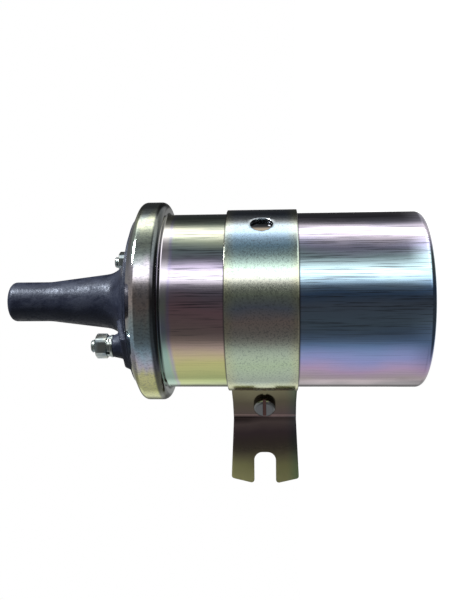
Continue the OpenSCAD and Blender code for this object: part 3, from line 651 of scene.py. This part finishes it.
around = np.arange(ring_steps) * 360 / ring_steps
for number, stud_angle in enumerate(stud_angles, 1):
    head_low_z = ceiling_z - stud_head_h
    shank = revolve([[0, head_low_z - stud_tail_h], [stud_tail_r, head_low_z - stud_tail_h],
                     [stud_tail_r, head_low_z], [stud_head_r - stud_edge, head_low_z],
                     [stud_head_r, head_low_z + stud_edge], [stud_head_r, ceiling_z],
                     [stud_thread_r - thread_depth, ceiling_z]],
                    np.arange(thread_steps) * 360 / thread_steps)
    stud = np.concatenate([shank, thread(stud_thread_r, ceiling_z + 0.01, stud_tip_z)])
    piece(f"stud_{number}", [(at_stud(stud, stud_angle), grid_faces(*stud.shape[:2]))], zinc, "coil",
          [f"terminal_stud_{number}"])
    plain = revolve(ring_line(washer_hole_r, washer_r, 0, washer_t), around)
    piece(f"plain_washer_{number}",
          [(at_stud(plain, stud_angle, pad_z), grid_faces(*plain.shape[:2], round_rows=True))],
          zinc, "coil", [f"flat_washer_{number}"])
    split = split_ring(washer_hole_r, split_r, split_t, split_gap / 2)
    split_faces = grid_faces(*split.shape[:2])[:, ::-1]
    piece(f"split_washer_{number}", [(at_stud(split, stud_angle, spring_z), split_faces)],
          zinc, "coil", [f"spring_washer_{number}"])
    nut = hexagon_nut(nut_half, nut_h, nut_bore_r)
    piece(f"hex_nut_{number}",
          [(at_stud(nut, stud_angle, nut_z, -stud_angle), grid_faces(*nut.shape[:2], round_rows=True))],
          zinc, f"terminal_nut_{number}", [f"terminal_nut_{number}"], crease=25)


# ---------------------------------------------------------------- clamp strap
# The strap is one blank of 1.2 mm sheet steel, punched with two screw holes, a round hole and an
# open slot, then bent: a foot, an ear, the band round the can and a second ear. It is plated in
# the same way as the can, but its rolled surface is more matt.

strap_t, split_angle, ear_v = 1.2, 143, 1.5
strap_gap, band_thin, root_bend_r, fold_r = 0.08, 0.02, 1.6, 2.0
ear_l, rear_ear_l, foot_l, screw_out = 21.8, 20.6, 23.7, 16.2
ear_half, waist_half, foot_half, tip_back, foot_corner_r = 11.8, 11.55, 12.5, 1.7, 1.1
slot_half, slot_l, slot_corner_r = 4.0, 11.3, 3.0
rear_half, rear_corner_r = 9.0, 3.0
# Where the blank's width changes, from the start of the front ear and from that of the rear one
waist_l, swell_l, swell_end_l, rear_full_l, rear_taper_l = 7, 13.5, 17.2, 7.5, 13
screw_hole_r, band_hole_r, band_hole_angle = 2.2, 3.5, 321.5

band_out_r = can_r + strap_gap + strap_t - band_thin
root_v = ear_v + strap_t + root_bend_r
root_a = math.asin(root_v / (band_out_r + root_bend_r))
root_u = (band_out_r + root_bend_r) * math.cos(root_a)
bend_mid_r, fold_mid_r = root_bend_r + strap_t / 2, fold_r + strap_t / 2
band_mid_r = band_out_r + root_bend_r - bend_mid_r
fold_a = math.radians(180 - split_angle)
fold_u, fold_v = band_out_r + ear_l, ear_v + strap_t + fold_r
screw_u = band_out_r + screw_out

# The middle of the sheet as stretches of (length, turn), from the foot's tip to the rear ear's end
stretches = [(foot_l, 0.0), (fold_mid_r * fold_a, -fold_a), (fold_u - root_u, 0.0),
             (bend_mid_r * (math.pi / 2 - root_a), -(math.pi / 2 - root_a)),
             (band_mid_r * 2 * (math.pi - root_a), 2 * (math.pi - root_a)),
             (bend_mid_r * (math.pi / 2 - root_a), -(math.pi / 2 - root_a)),
             (band_out_r + rear_ear_l - root_u, 0.0)]
joints_s = np.concatenate([[0], np.cumsum([length for length, _ in stretches])])
sheet_l = joints_s[-1]
tip_uv = (np.array([fold_u, fold_v]) + fold_mid_r * np.array([math.sin(fold_a), -math.cos(fold_a)])
          + foot_l * np.array([math.cos(fold_a), math.sin(fold_a)]))


def turned_at(s):
    """Direction of the sheet at a distance from the foot's tip: it turns evenly along each bend."""
    turns = np.concatenate([[0], np.cumsum([turn for _, turn in stretches])])
    return fold_a + math.pi + np.interp(s, joints_s, turns)


fine_steps = 40000
fine_s = np.linspace(0, sheet_l, fine_steps + 1)
middle_turn = turned_at((fine_s[1:] + fine_s[:-1]) / 2)
fine_step = fine_s[1] - fine_s[0]
fine_u = tip_uv[0] + np.concatenate([[0], np.cumsum(np.cos(middle_turn) * fine_step)])
fine_v = tip_uv[1] + np.concatenate([[0], np.cumsum(np.sin(middle_turn) * fine_step)])


def from_clamp(u, v, z):
    """Points in the clamp's own directions, along the ears and across them, as x, y and z."""
    c, s = heading(split_angle)
    return np.stack([u * c - v * s, u * s + v * c, z], -1)


def bent(s, side):
    """A point of the flat blank put on the bent sheet's middle."""
    return from_clamp(np.interp(s, fine_s, fine_u), np.interp(s, fine_s, fine_v), strap_z + side)


fold_s, ear_s, band_s, rear_s = joints_s[[1, 2, 4, 6]]
front_screw_s = ear_s + fold_u - screw_u
rear_screw_s = rear_s + screw_u - root_u
local_hole = math.radians(band_hole_angle - split_angle)
band_hole_s = band_s + band_mid_r * (local_hole - root_a)
holes = [(front_screw_s, screw_hole_r), (rear_screw_s, screw_hole_r), (band_hole_s, band_hole_r)]

# Half of the blank's outline, from the middle of the slot's closed end to the rear ear's end
half_line = round_off(
    [[slot_l, 0], [slot_l, slot_half], [0, slot_half], [0, slot_half + foot_corner_r],
     [tip_back, foot_half], [fold_s, waist_half], [ear_s + waist_l, waist_half],
     [ear_s + swell_l, ear_half], [ear_s + swell_end_l, strap_half], [band_s, strap_half],
     [rear_s + rear_full_l, strap_half], [rear_s + rear_taper_l, rear_half], [sheet_l, rear_half],
     [sheet_l, 0]],
    [slot_corner_r, foot_corner_r, 0.0, foot_corner_r, 30, 20, 6, 2, 0, 4, 4, rear_corner_r], 6)
half_line = np.delete(half_line, np.where(np.hypot(*np.diff(half_line, axis=0).T) < 0.02)[0] + 1, 0)
row_steps = [1.4, 0.22, 1.4, 0.22, 0.7, 0.22, 1.4]
rows = np.concatenate([np.linspace(a, b, math.ceil((b - a) / step), endpoint=False)
                       for a, b, step in zip(joints_s[:-1], joints_s[1:], row_steps)])


def split_at_rows(line):
    """The line with a point wherever it crosses one of the rows, so that bends stay clean."""
    parts = []
    for (s0, t0), (s1, t1) in zip(line[:-1], line[1:]):
        cuts = rows[(rows > min(s0, s1) + 0.05) & (rows < max(s0, s1) - 0.05)]
        cuts = cuts if s1 > s0 else cuts[::-1]
        parts.append([s0, t0])
        parts += [[cut, t0 + (t1 - t0) * (cut - s0) / (s1 - s0)] for cut in cuts]
    return np.array(parts + [line[-1]])


half_line = split_at_rows(half_line)
outline = np.vstack([half_line, (half_line * [1, -1])[::-1][1:-1]])
rings = [np.column_stack([s + r * np.cos(np.radians(around)), r * np.sin(np.radians(around))])
         for s, r in holes]


def edge_distance(points, loop):
    """Distance from each point to the nearest stretch of a closed line."""
    start, end = loop, np.roll(loop, -1, 0)
    way = end - start
    rel = points[:, None] - start[None]
    t = np.clip((rel * way).sum(-1) / (way * way).sum(-1), 0, 1)
    return np.hypot(*np.moveaxis(rel - t[..., None] * way, -1, 0)).min(1)


def within(points, loop):
    """True where a ray along the first axis crosses the closed line an odd number of times."""
    (x0, y0), (x1, y1) = loop.T, np.roll(loop, -1, 0).T
    px, py = points[:, :1], points[:, 1:]
    spans = (y0 <= py) != (y1 <= py)
    with np.errstate(divide="ignore", invalid="ignore"):
        crossing = x0 + (py - y0) * (x1 - x0) / (y1 - y0)
    return (spans & (px < crossing)).sum(1) % 2 == 1


column_half, column_count, edge_clear, hole_clear = 11.6, 17, 0.35, 0.4
columns = np.linspace(-column_half, column_half, column_count)
inner = np.stack(np.meshgrid(rows, columns, indexing="ij"), -1).reshape(-1, 2)
inner = inner[within(inner, outline)]
inner = inner[edge_distance(inner, outline) > edge_clear]
for ring in rings:
    inner = inner[~within(inner, ring) & (edge_distance(inner, ring) > hole_clear)]
loops = [outline, *rings]
flat_points = np.vstack([*loops, inner])
starts = np.cumsum([0] + [len(loop) for loop in loops])
edges = [(start + k, start + (k + 1) % len(loop)) for start, loop in zip(starts, loops)
         for k in range(len(loop))]
cut = delaunay_2d_cdt([Vector(p) for p in flat_points], edges, [], 0, 1e-6)
blank, triangles = np.array([tuple(p) for p in cut[0]]), np.array([list(f) for f in cut[2]])
centres = blank[triangles].mean(1)
kept = within(centres, outline)
for ring in rings:
    kept &= ~within(centres, ring)
triangles = triangles[kept]

tint_reach, foot_end_x, ear_end_x = 30, -68, -26
strap_steel, tree, shader, place = finish_of("strap_steel", (0.74, 0.76, 0.70), 1.0, 0.3)
x, y, z = put(tree, "SeparateXYZ", {0: place}).outputs
cloud = noise(tree, stretched(tree, place, (0.06, 0.06, 0.05)), 3.0)
sway = maths(tree, "MULTIPLY_ADD", maths(tree, "SUBTRACT", cloud, 0.5), 5 * mm, x)
band_share = spread(tree, sway, -tint_reach * mm, tint_reach * mm, shape="LINEAR")
# Across the band the tints are the plating film's colours, with painted shade on its upper edge: the dark
# stops from x 26 mm up.
band_tint = ramp(tree, band_share, across(-tint_reach, tint_reach, [
    (-28, (0.90, 0.92, 0.44)), (-25, (0.72, 0.84, 0.70)), (-20, (0.72, 0.90, 0.62)),
    (-15, (0.80, 0.94, 0.76)), (-11, (0.84, 0.80, 0.72)), (-7, (0.92, 0.74, 0.68)),
    (-3, (0.52, 0.60, 0.76)), (1, (0.74, 0.86, 0.66)), (5, (0.90, 0.92, 0.80)),
    (9, (0.70, 0.92, 0.78)), (12.5, (0.66, 0.92, 0.88)), (16, (0.46, 0.76, 0.98)),
    (19, (0.52, 0.74, 0.96)), (22, (0.66, 0.80, 0.88)), (24, (0.62, 0.66, 0.68)),
    (26.5, (0.22, 0.28, 0.40)), (29, (0.26, 0.34, 0.50))]))
speckle = noise(tree, stretched(tree, place, (1.9, 1.9, 1.9)), 3.0, 0.7)
from_middle = maths(tree, "ABSOLUTE", maths(tree, "SUBTRACT", z, strap_z * mm))
gold_sway = maths(tree, "MULTIPLY_ADD", cloud, 5 * mm, from_middle)
edge_gold = maths(tree, "MULTIPLY", spread(tree, gold_sway, 9.5 * mm, 14 * mm), 0.5)
band_tint = mix_colour(tree, edge_gold, band_tint, (0.88, 0.86, 0.50))
dark_speckle = spread(tree, speckle, 0.36, 0.5, 0.45, 0.0)
band_tint = mix_colour(tree, dark_speckle, band_tint, (0.22, 0.25, 0.27))
# Painted shade along both edges of the band
band_edge_shade = spread(tree, from_middle, 10.8 * mm, 11.05 * mm)
band_tint = mix_colour(tree, band_edge_shade, band_tint, (0.20, 0.20, 0.17))
foot_sway = maths(tree, "MULTIPLY_ADD", cloud, 6 * mm, x)
ear_share = spread(tree, foot_sway, foot_end_x * mm, ear_end_x * mm, shape="LINEAR")
# Along the foot and ear: olive towards the foot's tip, a painted highlight on the fold near x -42.5 mm, and
# painted shade that makes the ear near-black
ear_tint = ramp(tree, ear_share, across(foot_end_x, ear_end_x, [
    (-66, (0.56, 0.55, 0.26)), (-58, (0.44, 0.43, 0.20)), (-52, (0.30, 0.25, 0.18)),
    (-46, (0.34, 0.24, 0.26)), (-42.5, (0.62, 0.46, 0.44)), (-40, (0.14, 0.10, 0.10)),
    (-34, (0.15, 0.13, 0.09)), (-29, (0.28, 0.26, 0.16))]))
blue_side = spread(tree, maths(tree, "MULTIPLY_ADD", cloud, 5 * mm, z), 41 * mm, 46 * mm, 1.0, 0.0)
ear_tint = mix_colour(tree, blue_side, ear_tint, (0.62, 0.86, 0.95), "MULTIPLY")
past_root = spread(tree, x, -30.4 * mm, -29.9 * mm, 1.0, 0.0)
# Painted highlights: two light lines where the fold between foot and ear begins and ends
for fold_highlight_x in bent(joints_s[1:3], np.zeros(2))[:, 0] * mm:
    off_fold_highlight = maths(tree, "ABSOLUTE", maths(tree, "SUBTRACT", x, fold_highlight_x))
    line = spread(tree, off_fold_highlight, 0.06 * mm, 0.26 * mm, 0.5, 0.0)
    ear_tint = mix_colour(tree, line, ear_tint, (0.52, 0.36, 0.34))
tree.links.new(mix_colour(tree, past_root, band_tint, ear_tint), shader["Base Color"])
tree.links.new(spread(tree, foot_sway, -58 * mm, -48 * mm, 0.15, 1.0), shader["Metallic"])
streaks = noise(tree, stretched(tree, place, (0.3, 0.3, 2.2)), 2.0)
tree.links.new(bump(tree, speckle, 0.004, under=bump(tree, streaks, 0.002)), shader["Normal"])
tree.links.new(spread(tree, speckle, 0.3, 0.7, 0.12, 0.19), shader["Roughness"])

strap = piece("strap_band", [(bent(blank[:, 0], blank[:, 1]), triangles)], strap_steel, "clamp",
              ["clamp_strap"], crease=60)
wall = strap.modifiers.new("sheet", "SOLIDIFY")
wall.thickness, wall.offset, wall.use_even_offset = strap_t * mm, 0, True
sheet_edge = 0.12
edge = strap.modifiers.new("edge", "BEVEL")
edge.width, edge.segments = sheet_edge * mm, 2
edge.limit_method, edge.angle_limit = "ANGLE", math.radians(50)


# ---------------------------------------------------------------- clamp screw
# A slotted pan-head screw draws the two ears together. It has a split washer and a hex nut behind
# the rear ear. The head is dark on top, with a bright worn edge, and rust and painted shade in its slot.

head_r, head_h, head_edge_r, head_slot_w, head_slot_h = 4.0, 2.6, 1.1, 1.2, 1.3
slot_edge, slot_foot, crown, seat_edge, seat_share = 0.05, 0.06, 0.06, 0.15, 0.97
screw_r, clamp_nut_h, screw_proud = 2.0, 3.2, 1.2
head_v = ear_v + strap_t
lock_v = -head_v - split_t
clamp_nut_v = lock_v - clamp_nut_h
screw_end_v = clamp_nut_v - screw_proud


def at_screw(points, v):
    """Points with their own z along the clamp screw: x goes along the ears, y downwards."""
    x, y, z = np.moveaxis(np.asarray(points, float), -1, 0)
    return from_clamp(screw_u + x, v + z, strap_z - y)


def slotted_head():
    """A pan head as straight columns along the slot. The dome is flat, then a quarter circle at
    the edge; inside the slot the height is the slot's floor. A skirt goes down to the seat."""
    half, flat_r = head_slot_w / 2, head_r - head_edge_r
    edge_turn = np.linspace(math.asin(flat_r / head_r), math.pi / 2, 9)
    outside = np.unique(np.concatenate([np.linspace(half + 0.1, flat_r, 12), head_r * np.sin(edge_turn)]))
    slot = [-half - slot_edge, -half, -half, -half + slot_foot, 0,
            half - slot_foot, half, half, half + slot_edge]
    q = np.concatenate([-outside[::-1], slot, outside])
    lowered = np.zeros(len(q))
    middle = len(outside)
    lowered[middle + 2:middle + 7] = 1
    reach = np.sqrt(head_r ** 2 - q[:, None] ** 2)
    p = np.sin(np.linspace(-math.pi / 2, math.pi / 2, 49))[None, :] * reach
    rho = np.minimum(np.hypot(p, q[:, None]), head_r)
    dome = head_h - head_edge_r + np.sqrt(head_edge_r ** 2 - np.clip(rho - flat_r, 0, head_edge_r) ** 2)
    dome = dome - crown * (rho / head_r) ** 2
    rounded = np.zeros(len(q))
    rounded[[middle + 1, middle + 7]] = slot_edge
    dome = dome - rounded[:, None]
    floor = head_h - head_slot_h
    z = np.where(lowered[:, None] > 0, np.minimum(dome, floor), dome)
    top = np.stack([p, np.broadcast_to(q[:, None], p.shape), z], -1)
    rim = np.concatenate([top[:, -1], top[::-1, 0]])
    skirt = np.stack([rim, rim * [1, 1, 0] + [0, 0, seat_edge], rim * [seat_share, seat_share, 0],
                      rim * 0])
    return [(top, grid_faces(*top.shape[:2], round_columns=False)[:, ::-1]),
            (skirt, grid_faces(*skirt.shape[:2]))]


head_steel, tree, shader, place = finish_of("dark_plated_screw", (0.5, 0.52, 0.52), 1.0, 0.26)
x, y, z = put(tree, "SeparateXYZ", {0: place}).outputs
out_x, out_y = -heading(split_angle)[1], heading(split_angle)[0]
up_head = maths(tree, "ADD", maths(tree, "MULTIPLY", x, out_x), maths(tree, "MULTIPLY", y, out_y))
head_share = spread(tree, up_head, head_v * mm, (head_v + head_h) * mm, shape="LINEAR")
# Up the head: rust and painted shade on the slot's floor, then a bright worn edge and a dark top
worn = ramp(tree, head_share, [(0.0, (0.20, 0.20, 0.20)), (0.5, (0.11, 0.06, 0.055)),
                               (0.56, (0.30, 0.31, 0.31)), (0.75, (0.66, 0.68, 0.66)),
                               (0.93, (0.44, 0.46, 0.46)), (0.98, (0.20, 0.21, 0.22))])
tree.links.new(worn, shader["Base Color"])
dents = noise(tree, stretched(tree, place, (1.5, 1.5, 1.5)), 2.0)
tree.links.new(bump(tree, dents, 0.0015), shader["Normal"])

shank = thread(screw_r, 0, head_v - screw_end_v)[:, ::-1] * [1, 1, -1]
screw_shells = [(at_screw(points, head_v), faces) for points, faces in slotted_head()]
screw_shells.append((at_screw(shank, head_v), grid_faces(*shank.shape[:2])))
piece("slotted_screw", screw_shells, head_steel, "clamp_screw", ["clamp_screw"])
split = split_ring(washer_hole_r, split_r, split_t, split_gap / 2)
piece("clamp_split_washer", [(at_screw(split, lock_v), grid_faces(*split.shape[:2])[:, ::-1])], zinc,
      "clamp", ["clamp_lock_washer"])
nut = hexagon_nut(nut_half, clamp_nut_h, nut_bore_r)
piece("clamp_hex_nut", [(at_screw(nut, clamp_nut_v), grid_faces(*nut.shape[:2], round_rows=True))],
      zinc, "clamp", ["clamp_nut"], crease=25)


# ---------------------------------------------------------------- inside
# Inside the can: a laminated iron core in a paper tube, the fine secondary winding and the thicker
# primary over it, board wraps, a slit flux shield, a porcelain base and the brass contacts.


def winding(name, dark, light, rate):
    """Enamelled wire laid in turns: uneven bands along z, whose wave runs through the given number
    of radians in a millimetre."""
    material, tree, shader, place = finish_of(name, light, 0.7, 0.3)
    turns = put(tree, "TexWave", {"Vector": place, "Scale": rate / mm / 20, "Distortion": 0.4},
                bands_direction="Z").outputs["Fac"]
    tree.links.new(mix_colour(tree, turns, dark, light), shader["Base Color"])
    tree.links.new(bump(tree, turns, 0.3 / rate), shader["Normal"])
    return material


def mottled(name, dark, light, metallic, roughness, scale, depth, **sockets):
    """One material between two shades, in patches of the given number per millimetre."""
    material, tree, shader, place = finish_of(name, light, metallic, roughness, **sockets)
    patches = noise(tree, stretched(tree, place, (scale,) * 3), 4.0, 0.6)
    tree.links.new(mix_colour(tree, patches, dark, light), shader["Base Color"])
    tree.links.new(bump(tree, patches, depth), shader["Normal"])
    return material


brass = mottled("brass", (0.55, 0.38, 0.14), (0.82, 0.62, 0.28), 1.0, 0.3, 0.8, 0.02)
spring_steel = mottled("spring_steel", (0.40, 0.40, 0.40), (0.62, 0.62, 0.60), 1.0, 0.3, 2.0, 0.01)
rubber = mottled("gasket_rubber", (0.012, 0.012, 0.012), (0.03, 0.03, 0.03), 0.0, 0.7, 1.5, 0.04)
iron = mottled("core_iron", (0.14, 0.14, 0.15), (0.34, 0.34, 0.35), 1.0, 0.45, 0.5, 0.02)
board = mottled("pressed_board", (0.42, 0.27, 0.13), (0.62, 0.44, 0.24), 0.0, 0.75, 0.9, 0.06)
porcelain = mottled("porcelain", (0.72, 0.69, 0.60), (0.84, 0.81, 0.73), 0.0, 0.25, 0.3, 0.01)
fine_wire = winding("secondary_wire", (0.16, 0.06, 0.02), (0.55, 0.22, 0.08), 6)
thick_wire = winding("primary_wire", (0.22, 0.07, 0.02), (0.72, 0.30, 0.12), 1.4)
inside = {
    "cap_gasket": rubber, "ht_terminal": brass, "ht_spring": spring_steel, "core_contact": brass,
    "core": iron, "secondary_tube": board, "secondary_winding": fine_wire, "winding_insulation": board,
    "primary_winding": thick_wire, "outer_wrap": board, "flux_shield": iron,
    "base_insulator": porcelain, "primary_lead_1": thick_wire, "primary_lead_2": thick_wire}
for name, finish in inside.items():
    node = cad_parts[name]
    node.data.materials.clear()
    node.data.materials.append(finish)
